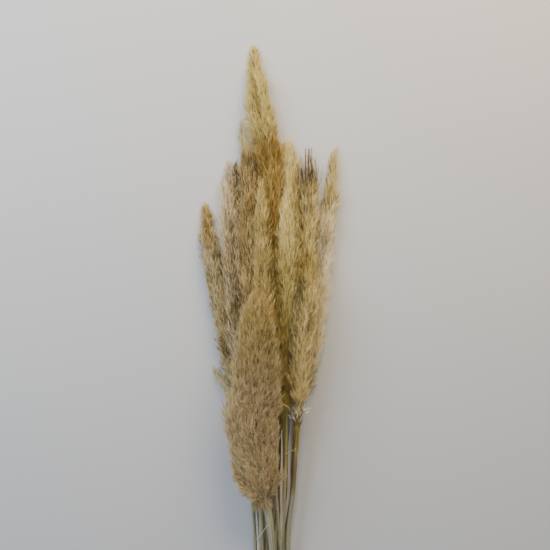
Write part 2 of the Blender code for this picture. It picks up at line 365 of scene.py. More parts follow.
def grid(rows, columns, closed=False):
    """The triangles of a grid of points, and their corners' places on a flat map from 0 to 1.
    A closed grid's last column joins its first."""
    wide = columns if closed else columns - 1
    row, column = (side.ravel() for side in np.meshgrid(np.arange(rows - 1), np.arange(wide), indexing="ij"))
    square = (0, 0), (0, 1), (1, 1), (1, 0)
    corner = [(row + r) * columns + (column + c) % columns for r, c in square]
    place = [np.stack([(row + r) / (rows - 1), (column + c) / wide], -1) for r, c in square]
    halves = (0, 1, 2), (0, 2, 3)
    faces = np.concatenate([np.stack([corner[i] for i in half], -1) for half in halves])
    corners = np.concatenate([np.stack([place[i] for i in half], 1) for half in halves])
    return faces, corners


def fan(ring, middle, turned_over=False):
    """Triangles from a ring of points to the point in its middle."""
    faces = np.stack([ring, np.roll(ring, -1), np.full(len(ring), middle)], 1)
    return faces[:, [0, 2, 1]] if turned_over else faces


def patch(corners, count):
    """One small patch of the flat map, for each of a number of triangles."""
    return np.repeat(np.array([corners]), count, 0)


# %% [markdown]
# ## Stems
# A pampas stem is a culm, like a thin bamboo: a smooth, waxy, faintly ribbed tube filled with pith, with a
# joint every 15 to 25 cm. It dries from green to grey and straw, in long streaks, because each strand of
# fibre dries by itself. Noise stretched a hundred times along the stem gives such streaks.

# %% The culm's material
def culm_material(name, pale, body, dark, stain, zones=()):
    """Dried culm: a waxy rind with long streaks and stains, and other colours in zones along the stem."""
    material, tree, output = blank_material(name)
    place = add(tree, "TexCoord").outputs["Object"]
    # Streaks 0.9 mm wide and 90 mm long. Real fibres are finer and wouldn't show.
    fibres = noise(tree, place, (1100, 11, 1100), detail=4.0, rough=0.6)
    # Stains 8 mm wide and 70 mm long, where water stood or a leaf lay against the stem.
    stains = noise(tree, place, (120, 14, 120))
    streaks = ramp_of(tree, fibres, [(0.30, dark), (0.50, body), (0.68, pale)])
    colour = blend(tree, fade_in(tree, stains, 0.56, 0.72), streaks, linear(stain))
    if zones:
        colour = blend(tree, 0.7, colour, ramp_of(tree, chart_of(tree)["X"], zones))
    rind = coat(tree, colour, 0.42, 0.45, (0.35, 0.0002, fibres))
    tree.links.new(rind, output.inputs["Surface"])
    return material


CULMS = {
    "grey_culm": culm_material("dried culm, grey", "#B4AE8E", "#8F8B6A", "#5C593F", "#6E6240"),
    "green_culm": culm_material("dried culm, olive", "#B0A65E", "#8E843A", "#57502A", "#6A5028"),
    "pale_culm": culm_material("dried culm, straw", "#B8B28E", "#928C68", "#605C40", "#786040"),
}
# Three stems changed colour by stretches as they dried, from grey-green low down to gold below their plumes.
# The front golden one has a dark scar as well, where a wet leaf lay against it.
GREENISH = "#8C8B76"
SCARRED_CULM = culm_material(
    "dried culm, scarred", "#B4A87C", "#8E8254", "#5E5430", "#6E4E26",
    [(0.0, GREENISH), (0.41, "#8C8A70"), (0.44, "#64482A"), (0.50, "#6A4E28"), (0.54, "#9A8238"),
     (0.59, "#957F34"), (0.62, "#8E6230"), (1.0, "#A08040")])
OLIVE_CULM = culm_material(
    "dried culm, gold to green", "#C0B262", "#A09444", "#6A622C", "#7A5C2C",
    [(0.0, GREENISH), (0.35, "#A29E80"), (0.42, "#AA9E5A"), (1.0, "#B2A45C")])
# Two of the olive stems went grey all over.
STEM_FINISH = {"dark_tip": CULMS["grey_culm"], "side_tuft": CULMS["grey_culm"], "front_golden": SCARRED_CULM,
               "broad_cream": OLIVE_CULM, "back_golden": OLIVE_CULM}

pith, tree, output = blank_material("dry pith")
foam = add(tree, "TexVoronoi", {"Scale": 2500.0},
           {"Vector": add(tree, "TexCoord").outputs["Object"]}).outputs["Distance"]  # cells of 0.4 mm
spongy = coat(tree, ramp_of(tree, foam, [(0.1, "#8C7A52"), (0.6, "#CDBE95")]), 0.9, 0.1, (0.5, 0.0002, foam))
tree.links.new(spongy, output.inputs["Surface"])

# %% [markdown]
# Each stem is a tube of rings along its curve, 16 points round. Where a joint sits, the tube swells a little
# and has a narrow groove above it, where a leaf once grew. The cut end shows the rind's rim round the pith.

# %% Stems
STEM_SIDES = 16
STEM_STEP = 6 * MM
JOINT_GAP = 150, 230  # mm from one joint to the next
JOINT_RINGS = -2.5, -1.2, 0, 0.8, 1.4, 2.5  # mm from a joint to the extra rings that shape it
SWELL, GROOVE = 0.09, 0.05  # how far a joint stands out and its groove goes in, of the radius
CULM_OF = {name: slot for slot, names in {
    "grey_culm": ("tall", "left_pale", "broad_cream", "centre_pale"),
    "green_culm": ("far_left", "dark_tip", "side_tuft", "brown"),
    "pale_culm": ("back_golden", "far_right", "front_golden", "front_large"),
}.items() for name in names}


def make_stem(grass, seed):
    rng = np.random.default_rng(seed)
    end = grass.stem_at[-1]
    joints = np.cumsum(rng.uniform(*JOINT_GAP, 6)) * MM - 60 * MM
    joints = joints[joints < grass.start - 20 * MM]
    near = [joint + offset * MM for joint in joints for offset in JOINT_RINGS]
    where = np.sort(np.r_[np.arange(0, end, STEM_STEP), near, 0.4 * MM, end])
    radius = np.interp(where, grass.stem_at, grass.radius)
    for joint in joints:
        off = (where - joint) / MM
        radius = radius * (1 + SWELL * np.exp(-(off / 1.5) ** 2) - GROOVE * np.exp(-((off - 1.6) / 0.6) ** 2))
    radius[0] *= 0.94
    middle, _, across, up = at(grass.curve, where)
    turn = np.arange(STEM_SIDES) / STEM_SIDES * 2 * np.pi - np.pi / 2
    ring = ray_at(turn, across[:, None], up[:, None])
    points = (middle[:, None] + ring * radius[:, None, None]).reshape(-1, 3)
    faces, corners = grid(len(where), STEM_SIDES, closed=True)
    corners = np.stack([np.interp(corners[..., 0], np.linspace(0, 1, len(where)), where / end),
                        corners[..., 1] * 0.9], -1)
    # The cut end: an inner ring and a sunk middle. The other end closes to a point inside the plume.
    butt, inward = middle[0], grass.curve.along[0]
    inner = butt + ring[0] * radius[0] * 0.82 + inward * 0.15 * MM
    count = len(points)
    pith_middle, closing = butt + inward * 0.9 * MM, middle[-1] + grass.curve.along[-1] * MM
    points = np.concatenate([points, inner, [pith_middle, closing]])
    side = np.arange(STEM_SIDES)
    after = np.roll(side, -1)
    rim = np.concatenate([np.stack([side, count + side, count + after], 1),
                          np.stack([side, count + after, after], 1)])
    bowl = fan(count + side, count + STEM_SIDES, turned_over=True)
    tip = fan(count - STEM_SIDES + side, count + STEM_SIDES + 1)
    caps = np.concatenate([rim, bowl, tip])
    third = np.arange(3) * 2.1
    cap_corners = np.stack([0.5 + 0.5 * np.cos(third), 0.95 + 0.04 * np.sin(third)], 1)
    worn = np.r_[np.zeros(len(faces) + len(rim)), np.ones(len(bowl)), np.zeros(len(tip))]
    slot = CULM_OF[grass.name]
    piece = make_piece("culm_" + grass.name, points, np.concatenate([faces, caps]),
                       np.concatenate([corners, patch(cap_corners, len(caps))]),
                       [STEM_FINISH.get(grass.name, CULMS[slot]), pith], worn)
    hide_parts("stem_" + grass.name)
    return len(faces) + len(caps)


print("triangles in the stems:", sum(make_stem(grass, 100 + i) for i, grass in enumerate(grasses.values())))

# %% [markdown]
# ## Leaf sheaths
# A pampas leaf starts as a sheath wrapped round the stem above its joint. When the grass dries, the blade
# breaks off and the sheath stays: a papery, ribbed wrap that gapes at its mouth and splits into tatters.
# Each is made as one sheet with a real thickness, rolled round its stem a little more than once.

# %% The sheath's material
def dry_leaf_material(name, pale, body, dark, mouth_colour, glow):
    """Dried leaf: papery, with fine ribs along it and bleached, slightly see-through edges."""
    material, tree, output = blank_material(name)
    flat = add(tree, "UVMap", uv_map=FLAT_MAP).outputs[0]
    # Ribs: a leaf 25 mm wide has a rib about every 0.9 mm, so some 28 across the flat map.
    ribs = noise(tree, flat, (2.5, 28, 1), detail=3.0, rough=0.55)
    blotches = noise(tree, flat, (4, 2, 1), shift=(3, 7, 0))
    ribbed = ramp_of(tree, ribs, [(0.34, dark), (0.5, body), (0.64, pale)])
    bleached = blend(tree, fade_in(tree, blotches, 0.54, 0.74, top=0.5), ribbed, linear(pale))
    mouth = fade_in(tree, chart_of(tree)["X"], 0.88, 1.0, kind="SMOOTHSTEP")
    colour = blend(tree, mouth, bleached, linear(mouth_colour))
    paper = coat(tree, colour, 0.55, 0.4, (0.4, 0.0003, ribs))
    let_light_through(tree, output, paper, colour, glow)
    return material


def leaf(look, *colours_and_glow):
    return dry_leaf_material("dried leaf" + look, *colours_and_glow)


SHEATH_LEAF = leaf(" sheath, greenish", "#B4AE8E", "#9A9472", "#736D4E", "#A89C80", 0.08)
GOLDEN_LEAF = leaf(" sheath, golden", "#B39C52", "#8F7A34", "#5F481A", "#F6F0E0", 0.15)
# A dark brown leaf, used only on the blade that stands as painted shadow between the stems.
SHADOW_LEAF = leaf(" sheath, brown", "#A58350", "#805C30", "#50351A", "#C9B48A", 0.12)
FADED_LEAF = leaf(" sheath, faded", "#AAA484", "#8F8968", "#676142", "#B8AC88", 0.12)
WHITE_LEAF = leaf(", bleached", "#F4ECE2", "#DACFC0", "#A89C86", "#F6EEE6", 0.2)
GREY_LEAF = leaf(", grey", "#B5B29C", "#94917A", "#6A6750", "#BDBAA6", 0.2)

# %% Sheaths
SHEET = 0.25 * MM  # a dried sheath's thickness
SHEET_COLUMNS = 40  # points across a sheath's sheet
TATTER_STEPS = 9
RIM = (0.1, 0.95), (0.1, 0.99), (0.5, 0.97)  # where the cut edges of a sheet lie on its flat map
# How often a sheath goes round its stem, where its seam lies (degrees), how ragged its mouth is (mm) and how
# many tatters it has. Where only fluff lies round it, it may reach beyond the solid model's (mm) and open by
# a share of its radius.
Wrap = namedtuple("Wrap", "material turns seam ragged tatters beyond opens seed")
WRAPS = {
    "front_large": Wrap(SHEATH_LEAF, 1.35, 20, 6, 0, 24, 0.3, 31),
    "front_golden": Wrap(GOLDEN_LEAF, 1.0, 70, 12, 110, 0, 0.0, 32),
    "brown": Wrap(SHEATH_LEAF, 1.1, 60, 10, 1, 0, 0.0, 33),
    "far_right": Wrap(FADED_LEAF, 1.05, 110, 14, 2, 0, 0.0, 34),
    "far_left": Wrap(SHEATH_LEAF, 1.05, 50, 12, 2, 0, 0.0, 35),
}


def grow_tatters(wrap, rng, outside, along, ray):
    """Narrow strips that split off at a sheath's mouth and curl away: points, faces and corners of each."""
    rows, columns = outside.shape[:2]
    for _ in range(wrap.tatters):
        column = rng.integers(2, columns - 2)
        row = rows - 1 - rng.integers(0, rows // 3)
        root, head, out = outside[row, column], along[row, column], ray[row, column]
        length, wide = rng.uniform(9, 28) * MM, rng.uniform(1.2, 3.2) * MM
        t = np.linspace(0, 1, TATTER_STEPS)[:, None]
        lean = rng.uniform(0.1, 0.5)
        spine = (root + head * length * (t - 0.2 * t ** 2)
                 + out * length * (lean * t + rng.uniform(-0.2, 0.5) * t ** 2))
        edge = np.cross(head, out) * wide * (1 - t ** 2 * 0.9) / 2
        edge = edge + out * wide * 0.3 * np.sin(t * 3 + rng.uniform(0, 6))
        lift = out * 0.12 * MM
        strip = np.stack([spine - edge, spine + edge, spine + edge + lift, spine - edge + lift], 1)
        faces, corners = grid(TATTER_STEPS, 4, closed=True)
        last = 4 * TATTER_STEPS - 4
        ends = np.array([(0, 2, 1), (0, 3, 2), (last, last + 1, last + 2), (last, last + 2, last + 3)])
        yield (strip.reshape(-1, 3), np.concatenate([faces, ends]),
               np.concatenate([corners * (0.15, 0.1) + (0.85, rng.uniform(0.1, 0.8)), patch(RIM, 4)]))


def make_sheath(name, wrap):
    rng = np.random.default_rng(wrap.seed)
    grass, node = grasses[name], "sheath_" + name
    rings = rings_of(node)
    place = along_curve(grass.curve, [ring[:, 1].mean() for ring in rings])
    middle = at(grass.curve, place)[0]
    off = [np.linalg.norm(ring - c, axis=1) for ring, c in zip(rings, middle)]
    rows, columns = max(int((place[-1] - place[0]) / (3 * MM)), 16), SHEET_COLUMNS
    turn = np.linspace(0, 1, columns)
    # The mouth is torn: each part of the sheet ends a little lower or higher.
    tear = np.interp(turn, np.linspace(0, 1, 14), rng.random(14)) * wrap.ragged * MM
    share = np.linspace(0, 1, rows)[:, None]
    where = place[0] + share * (place[-1] + wrap.beyond * MM - place[0] - tear[None])
    close, far = (np.interp(where, place, [pick(ring) for ring in off]) for pick in (np.min, np.max))
    wobble = 0.05 * MM * np.sin(turn * 2 * np.pi * 14)[None] + 0.12 * MM * np.sin(share * 9 + turn[None] * 5)
    radius = (close + (far - close) * turn[None] + wobble) * (1 + wrap.opens * share ** 6) + SHEET
    angle = np.radians(wrap.seam) + turn[None] * wrap.turns * 2 * np.pi + 0.25 * share
    spot, along, across, up = at(grass.curve, where)
    ray = ray_at(angle, across, up)
    outside, inside = spot + ray * radius[..., None], spot + ray * (radius - SHEET)[..., None]
    faces, corners = grid(rows, 2 * columns, closed=True)
    side = np.arange(columns - 1)
    rims = []
    for base in (0, (rows - 1) * 2 * columns):
        a, b = base + side, base + side + 1
        c, d = base + 2 * columns - 2 - side, base + 2 * columns - 1 - side
        rims += [np.stack([a, b, c], 1), np.stack([a, c, d], 1)]
    rims = np.concatenate(rims)
    parts = [(np.concatenate([outside, inside[:, ::-1]], 1).reshape(-1, 3), np.concatenate([faces, rims]),
              np.concatenate([corners * (1, 0.94), patch(RIM, len(rims))]))]
    parts += grow_tatters(wrap, rng, outside, along, ray)
    starts = np.cumsum([0] + [len(part[0]) for part in parts])
    points = np.concatenate([part[0] for part in parts])
    points[:, 2] = np.maximum(points[:, 2], 0.1 * MM)
    faces = np.concatenate([part[1] + start for part, start in zip(parts, starts)])
    corners = np.concatenate([part[2] for part in parts])
    piece = make_piece("leaf_" + node, points, faces, corners, [wrap.material])
    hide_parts(node)
    print(f"{piece.name}: {len(faces)} triangles")


for name, wrap in WRAPS.items():
    make_sheath(name, wrap)

# %% [markdown]
# ## Loose leaves and straws
# A narrow dried leaf lies along the front of the stems, more leaf blades have slipped in between them, and
# bits of straw have caught across them. A blade is a strip folded along its midrib, so that it catches the
# light on one half. The straws are thin bent tubes.

# %% Leaf blades
BLADE_ROWS = 60
FOLD = np.array([-1, -0.5, -0.12, 0, 0.12, 0.5, 1])  # places across a blade, from edge to midrib to edge
HALF_SHEET = 0.12 * MM
END = (0.1, 0.4), (0.1, 0.5), (0.2, 0.45)  # where the ends of blades and straws lie on their flat maps


def make_loose(name, points, faces, corners, ends, material, replaced):
    """A piece that lies loose in the bunch, from its side and its ends."""
    piece = make_piece(name, points, np.concatenate([faces, ends]),
                       np.concatenate([corners, patch(END, len(ends))]), [material])
    if replaced:
        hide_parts(replaced)


def make_blade(name, curve, half_wide, material, replaced=None):
    """A folded leaf blade along a curve, widest low down and pointed at its end."""
    t = np.linspace(0, 1, BLADE_ROWS)
    wide = half_wide * np.minimum(1, 0.55 + 3 * t) * (1 - t ** 3) ** 0.6
    wide = wide * (1 + 0.06 * np.sin(t * 40)) + 0.15 * MM
    height = np.abs(FOLD) * 0.28 - 0.1 * np.exp(-(FOLD / 0.08) ** 2)
    roll = (0.35 * np.sin(t * 7))[:, None]
    side, lift = wide[:, None] * FOLD, wide[:, None] * (height + FOLD * roll * 0.5)
    sheets = [curve.middle[:, None] + curve.across[:, None] * side[..., None]
              + curve.up[:, None] * (lift + half)[..., None] for half in (HALF_SHEET, -HALF_SHEET)]
    points = np.concatenate([sheets[0], sheets[1][:, ::-1]], 1)
    loop = 2 * len(FOLD)
    faces, corners = grid(BLADE_ROWS, loop, closed=True)
    ends = [three for base in (0, (BLADE_ROWS - 1) * loop) for i in range(len(FOLD) - 1)
            for three in ((base + i, base + i + 1, base + loop - 2 - i),
                          (base + i, base + loop - 2 - i, base + loop - 1 - i))]
    make_loose(name, points.reshape(-1, 3), faces, corners, np.array(ends), material, replaced)


rings = rings_of("dried_leaf")
make_blade("leaf_dried_leaf", curve_through(np.array([ring.mean(0) for ring in rings]), BLADE_ROWS),
           max(np.ptp(ring[:, 0]) for ring in rings) / 2, WHITE_LEAF, "dried_leaf")

# A blade that has slipped in lies beside a stem, from one place along the bunch to another. Its two ends lie
# this far to the side of the stem's middle and above it (mm).
Slipped = namedtuple("Slipped", "grass low high sides lifts wide material")
SLIPPED = {
    "bleached": Slipped("broad_cream", -330, -135, (-2.6, -8.4), (3.4, 2.0), 3.6, WHITE_LEAF),
    # This dark brown blade lies in the gap beside the tall stem as painted shadow, where that gap lies in
    # shade.
    "shadow_filler": Slipped("tall", -240, -75, (6.0, 5.0), (-3.0, -5.0), 8.0, SHADOW_LEAF),
    "folded": Slipped("dark_tip", -300, -110, (-4.5, -1.5), (-1.0, -2.0), 6.0, GREY_LEAF),
    "grey": Slipped("dark_tip", -300, -84, (1.0, -3.8), (5.2, 6.4), 4.6, WHITE_LEAF),
    "thin": Slipped("back_golden", -330, -205, (3.4, -2.6), (4.0, 4.6), 1.8, GREY_LEAF),
}
for name, blade in SLIPPED.items():
    curve = grasses[blade.grass].curve
    along = np.linspace(blade.low, blade.high, BLADE_ROWS) * MM
    middle, _, across, up = at(curve, along_curve(curve, along))
    t = np.linspace(0, 1, BLADE_ROWS)[:, None]
    side = blade.sides[0] + (blade.sides[1] - blade.sides[0]) * t + 0.5 * np.sin(9 * t)
    lift = blade.lifts[0] + (blade.lifts[1] - blade.lifts[0]) * t
    spine = middle + (across * side + up * lift) * MM
    make_blade("leaf_blade_" + name, curve_through(spine, BLADE_ROWS), blade.wide / 2 * MM, blade.material)


# %% Loose straws
STRAW_ROWS, STRAW_SIDES = 24, 8


def make_straw(name, middles, radius, replaced=None):
    curve = curve_through(middles, STRAW_ROWS)
    turn = np.arange(STRAW_SIDES) / STRAW_SIDES * 2 * np.pi
    ring = ray_at(turn, curve.across[:, None], curve.up[:, None])
    points = (curve.middle[:, None] + ring * radius).reshape(-1, 3)
    faces, corners = grid(STRAW_ROWS, STRAW_SIDES, closed=True)
    side, count = np.arange(STRAW_SIDES), len(points)
    ends = np.concatenate([fan(side, count, turned_over=True), fan(count - STRAW_SIDES + side, count + 1)])
    points = np.concatenate([points, curve.middle[[0, -1]]])
    make_loose(name, points, faces, corners, ends, WHITE_LEAF, replaced)


def on_top(name, along):
    """The point on top of a grass's stem at a place along the bunch."""
    grass = grasses[name]
    where = along_curve(grass.curve, along)
    middle, _, _, up = at(grass.curve, where)
    return middle + up * (np.interp(where, grass.stem_at, grass.radius) + 0.7 * MM)


make_straw("straw_low", np.array([ring.mean(0) for ring in rings_of("loose_straw")]), 0.7 * MM, "loose_straw")
# A short straw bridges the gap from one stem up to the front golden one.
ends = [on_top("broad_cream", -176 * MM), on_top("front_golden", -165 * MM)]
run = np.linspace(-0.12, 1.0, 6)[:, None]
make_straw("straw_high", ends[0] + (ends[1] - ends[0]) * run + np.sin(run * 3) * (0, 0, 0.4 * MM), 0.8 * MM)

# %% [markdown]
# ## The fluff of the plumes
# A plume's hairs are silky and papery: light goes into them and comes out at the back, which makes the edge
# of a plume glow. So the material is a matt surface mixed with a translucent one. Its colour comes from the
# chart that the mesh carries: one axis runs from the plume's base to its tip, the other from dark husks to
# the palest hair ends.

# %% The fluff's material
def fluff_material(name, body, head, head_from, head_to, glow=0.35):
    """Dried plume hair, coloured from dark to pale along its chart, with other colours towards the tip."""
    material, tree, output = blank_material(name)
    chart = chart_of(tree)
    stops = (0.0, 0.25, 0.5, 0.75, 1.0)
    body_colour, head_colour = (ramp_of(tree, chart["Y"], list(zip(stops, five))) for five in (body, head))
    share = fade_in(tree, chart["X"], head_from, head_to, kind="SMOOTHSTEP")
    colour = blend(tree, share, body_colour, head_colour)
    let_light_through(tree, output, coat(tree, colour, 0.6, 0.35), colour, glow)
    return material


# %% [markdown]
# ## How a plume grows
# The stem's core carries side branches that leave it in a spiral, lean close to it and point to the tip. Each
# branch carries locks of flowers, more locks fill the room between the branches, and each lock is a bundle of
# husks and fine hairs. The steps below grow branches, then locks, then hairs, for all of a plume at once.

# %% Places on a plume
GOLDEN_ANGLE = np.radians(137.5)
BRANCH_STEPS = 9
BRANCH_T = np.linspace(0, 1, BRANCH_STEPS)  # places along a branch, from its root to its end
FLOOR_GAP = 0.3 * MM  # the lowest hairs stay this far above the floor
NEVER_ZERO = 1e-6  # m, so that a point on the plume's middle line has a direction too
DARKEST = 0.02  # the darkest tone that hairs take on the chart
ON_CHART = 0.006, 0.994  # shares along the plume are held between these, so that no hair leaves the chart
PROUD = 0.03, 10 * MM  # fluff may stand out of the solid model's box by this share of its side and this much

# How a plume grows. Girth and sweep are values along it: how wide it is against the solid model, and how far
# (mm) its middle line moves sideways. Branches, locks and down (the locks between branches) are counts.
# Lengths and widths are in mm. Splay and fan are degrees. Hairs are counts of straight hairs, bent hairs and
# husks in a lock. Tones go from 0, dark, to 1, pale. A spot is its share along, angle round, size and tone:
# spots make parts of a plume lighter or dimmer, and those that stand for shade from a neighbouring plume are
# painted shade, noted at each plume. The painted lit side is an angle round and an amount: locks on that side
# are painted lighter and those on the far side dimmer, as painted light and shade.
Habit = namedtuple("Habit", "slot girth sweep flat branches long short stand flare locks down down_to lock "
                            "splay hairs hair husk fan curl width scatter uneven tip tone contrast streak "
                            "pale_side patches strays halo wisps bare core seed")
Wisp = namedtuple("Wisp", "count low high angle spread lean long tone")
Bare = namedtuple("Bare", "count start stop tone")
# A core's size, its end, and how much its tone is lowered as painted shade.
Core = namedtuple("Core", "size end darker")


def spaced(values, share):
    """The value at a share along a plume, from values that are evenly spaced along it."""
    return np.interp(share, np.linspace(0, 1, len(values)), values)


def outward_from(middle, points):
    return unit(points - middle + NEVER_ZERO)


def on_plume(grass, habit, share, lift, turn):
    """Points at a share along the plume, lifted from its core by a share of its outline, to one side."""
    middle, along, across, up = at(grass.curve, grass.start + share * (grass.end - grass.start))
    lumpy = 0.6 * lumps(habit.seed, share, turn) + 0.4 * strands(grass, habit, share, turn)
    girth = spaced(habit.girth, share) * lift * (1 + habit.uneven * lumpy)
    side = np.interp(share, grass.marks, grass.side) * girth
    rise = np.interp(share, grass.marks, grass.rise) * girth * habit.flat
    ray = across * (side * np.cos(turn))[..., None] + up * (rise * np.sin(turn))[..., None]
    middle = middle + across * (spaced(habit.sweep, share) * MM)[..., None]
    return middle + ray, middle, along


def turned(heading, lean, spin, outward):
    """Directions that lean away from a heading, towards a spin about it, counted from outward."""
    first = unit(outward - heading * (outward * heading).sum(-1, keepdims=True))
    second = np.cross(heading, first)
    return (heading * np.cos(lean)[..., None]
            + (first * np.cos(spin)[..., None] + second * np.sin(spin)[..., None]) * np.sin(lean)[..., None])


# %% [markdown]
# A hair is one to three flat triangles, and a branch is a narrow strip. They are made in groups, as arrays of
# points, with one list of triangles for every member of the group.

# %% Hairs and strips
CHART_WIDTH = 0.004  # half the width that a hair takes on the chart


def curled(root, heading, sag, length, width, facing, share, tone, tip_tone):
    """Flat hairs that bend once: points, faces and chart corners."""
    length = length[:, None]
    middle = root + heading * length * 0.5 + sag * length * 0.25
    tip = root + heading * length * 0.95 + sag * length
    wide = unit(np.cross(heading, facing)) * width[:, None] / 2
    points = np.stack([root - wide * 0.6, root + wide * 0.6, middle - wide, middle + wide, tip], 1)
    faces = np.array([(0, 1, 3), (0, 3, 2), (2, 3, 4)])
    half_tone = (tone + tip_tone) / 2
    low, high = share - CHART_WIDTH, share + CHART_WIDTH
    chart = [(low, tone), (high, tone), (low, half_tone), (high, half_tone), (share, tip_tone)]
    return points, faces, np.stack([np.stack(pair, -1) for pair in chart], 1)


def straight(root, heading, length, width, facing, share, tone, tip_tone):
    """Flat straight hairs, a triangle each: points, faces and chart corners."""
    wide = unit(np.cross(heading, facing)) * width[:, None] / 2
    points = np.stack([root - wide, root + wide, root + heading * length[:, None]], 1)
    chart = [(share - CHART_WIDTH, tone), (share + CHART_WIDTH, tone), (share, tip_tone)]
    return points, np.array([(0, 1, 2)]), np.stack([np.stack(pair, -1) for pair in chart], 1)


def strips(path, heading, outward, half_wide, share, tone):
    """Narrow strips along branches, half so many mm wide: points, faces and chart corners."""
    count = len(path)
    wide = unit(np.cross(heading, outward)) * half_wide[None, :, None] * MM
    points = np.stack([path - wide, path + wide], 2).reshape(count, -1, 3)
    faces = np.array([half for i in range(0, 2 * BRANCH_STEPS - 2, 2)
                      for half in ((i, i + 1, i + 3), (i, i + 3, i + 2))])
    chart = np.stack([np.repeat(share, 2, 1), tone[:, None] + np.tile((0, 0.02), (count, BRANCH_STEPS))], -1)
    return points, faces, chart


def gather(parts):
    """Joins groups of alike small meshes into one list of points, faces and chart corners."""
    points, faces, corners, count = [], [], [], 0
    for group_points, group_faces, chart in parts:
        number, size = group_points.shape[:2]
        index = (np.arange(number) * size)[:, None, None] + group_faces[None] + count
        points.append(group_points.reshape(-1, 3))
        faces.append(index.reshape(-1, 3))
        corners.append(chart[:, group_faces].reshape(-1, 3, 2))
        count += number * size
    return np.concatenate(points), np.concatenate(faces), np.concatenate(corners)


def pressed(values, low, high, soft=3 * MM):
    """Values held between two limits, pressed closer together within a soft distance of either."""
    values = np.where(values < low + soft, low + soft * np.exp((values - low - soft) / soft), values)
    return np.where(values > high - soft, high - soft * np.exp((high - soft - values) / soft), values)


# %% [markdown]
# Nothing on a plume is even. Broad waves make light and dark parts, lumps swell and hollow the outline, and
# strands run along it, because neighbouring locks dry alike.

# %% Light, dark and lumps
def waves(rng, share, around):
    """Smooth random light and dark over a plume, about -1 to 1."""
    return sum(np.sin(share * along * 2 * np.pi + around * turns + phase) for along, turns, phase in
               zip((3, 5, 7, 4), (1, -1, 2, -2), rng.uniform(0, 2 * np.pi, 4))) / 2.2


def lumps(seed, share, around):
    """Smooth random swellings and hollows over a plume, about -1 to 1, from 15 to 60 mm long."""
    rng = np.random.default_rng(seed)
    along, turns = rng.uniform(5, 16, 9), rng.integers(1, 4, 9) * rng.choice((-1, 1), 9)
    phase = rng.uniform(0, 2 * np.pi, 9)
    return sum(np.sin(share * a * 2 * np.pi + around * n + p) for a, n, p in zip(along, turns, phase)) / 2.6


STRAND = 38 * MM, 5 * MM  # how long and how wide a strand of like locks is


def strands(grass, habit, share, around):
    """Random light and dark strands that run along the plume, about -1 to 1."""
    long, width = (grass.end - grass.start) / STRAND[0], np.pi * grass.side.max() * 2 / STRAND[1]
    rows, columns = int(long) + 3, int(width)
    rng = np.random.default_rng(habit.seed + 500)
    level, shift = rng.normal(0, 0.7, (rows, columns)), rng.random(columns)
    turn = around / (2 * np.pi) % 1 * columns
    first = np.floor(turn).astype(int) % columns
    tone = 0
    for column, weight in ((first, 1 - turn % 1), ((first + 1) % columns, turn % 1)):
        place = np.clip(share, 0, 1) * long + shift[column]
        row = np.floor(place).astype(int)
        part = place - row
        tone = tone + weight * (level[row, column] * (1 - part) + level[row + 1, column] * part)
    return tone


def lock_tones(grass, habit, rng, share, around):
    tone = habit.tone + waves(rng, share, around) * habit.contrast * 0.4
    tone = tone + strands(grass, habit, share, around) * habit.streak
    # Painted light and shade: locks on the lit side are painted lighter, those on the far side dimmer.
    side_angle, side_amount = habit.pale_side
    tone = tone + side_amount * np.cos(around - np.radians(side_angle))
    # Spots make parts of a plume lighter or dimmer. Some of them stand as painted shade from a neighbouring
    # plume.
    for spot_share, spot_angle, size, amount in habit.patches:
        off = (share - spot_share) / size
        wind = np.angle(np.exp(1j * (around - np.radians(spot_angle))))
        tone = tone + amount * np.exp(-off ** 2 - 2 * wind ** 2)
    return tone


# %% [markdown]
# Branches come first. Locks sit along them and fill the room between them.

# %% Branches and locks
def grow_branches(grass, habit, rng, top):
    """Branches with ends spread evenly over the plume, each rooted its own length below its end."""
    count, t = habit.branches, BRANCH_T
    end = 0.05 + (top - 0.05) * (np.arange(count) + rng.random(count)) / count
    turn = np.arange(count) * GOLDEN_ANGLE + rng.normal(0, 0.3, count)
    long = (habit.long + (habit.short - habit.long) * end ** 1.5) * rng.uniform(0.7, 1.3, count) * MM
    root = np.maximum(end - long / (grass.end - grass.start), 0.03 * rng.random(count))
    stand = habit.stand[0] + (habit.stand[1] - habit.stand[0]) * rng.random(count) ** 0.6
    share = root[:, None] + (end - root)[:, None] * t
    flare = habit.flare * rng.uniform(0.0, 1.0, count)[:, None] * t ** 3
    lift = stand[:, None] * (1 - (1 - t) ** 2.2) + flare
    around = turn[:, None] + rng.normal(0, 0.35, count)[:, None] * t
    path, middle, _ = on_plume(grass, habit, share, lift, around)
    path = path + rng.normal(0, 1.5 * MM, (count, 1, 3)) * (t ** 2)[None, :, None]
    tone = rng.normal(0, 0.6, count) * habit.contrast
    return SimpleNamespace(share=share, around=around, path=path, heading=unit(np.gradient(path, axis=1)),
                           outward=outward_from(middle, path), tone=tone)


def stalks(habit, branches):
    """The branches themselves, as narrow strips."""
    return strips(branches.path, branches.heading, branches.outward, 0.3 - 0.18 * BRANCH_T, branches.share,
                  np.clip(habit.tone - 0.1 + branches.tone, 0.03, 0.9))


